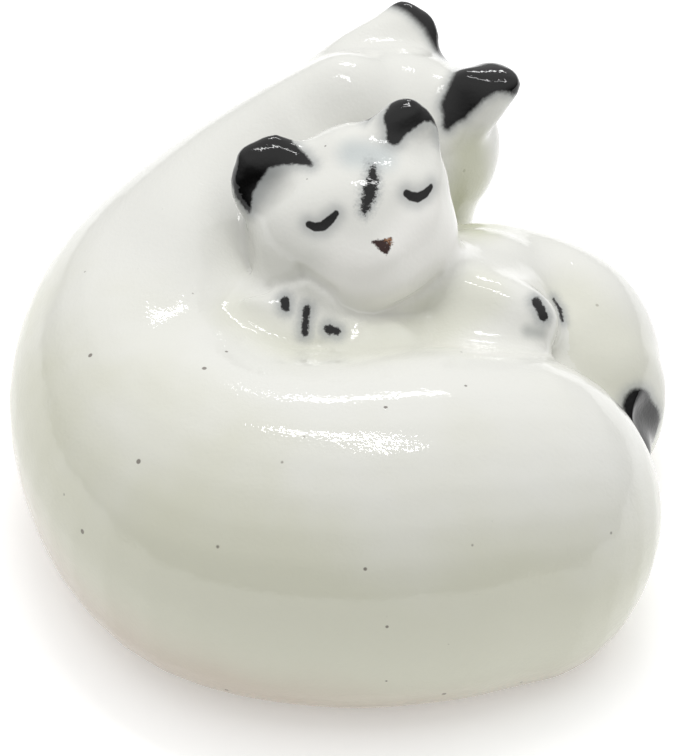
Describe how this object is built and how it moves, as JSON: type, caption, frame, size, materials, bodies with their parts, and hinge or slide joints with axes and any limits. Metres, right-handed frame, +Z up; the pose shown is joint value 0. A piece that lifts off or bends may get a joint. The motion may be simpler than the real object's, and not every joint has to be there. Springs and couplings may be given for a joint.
{
  "type": "cat figurine",
  "caption": "Glossy white ceramic figurine: a mother cat curled round her sleeping kitten, with black ears and painted marks, on a flat foot.",
  "frame": {"origin": "middle of the bounding box at the level of the foot", "axes": "+Z up, the kitten's face looks towards -Y, the mother's rump is at the front (-Y) and her head at the back (+Y)"},
  "size_m": [0.0674, 0.076, 0.0399],
  "materials": {
    "white_glaze": "gloss",
    "black_glaze": "gloss"
  },
  "bodies": {
    "root": {"mother_body": "white_glaze", "mother_head": "white_glaze", "mother_left_ear": "white_glaze", "mother_right_ear": "black_glaze", "kitten_body": "white_glaze", "kitten_head": "white_glaze", "kitten_left_ear": "black_glaze", "kitten_right_ear": "black_glaze", "kitten_tail": "black_glaze", "kitten_left_paw": "white_glaze", "kitten_right_paw": "white_glaze"}
  },
  "joints": []
}
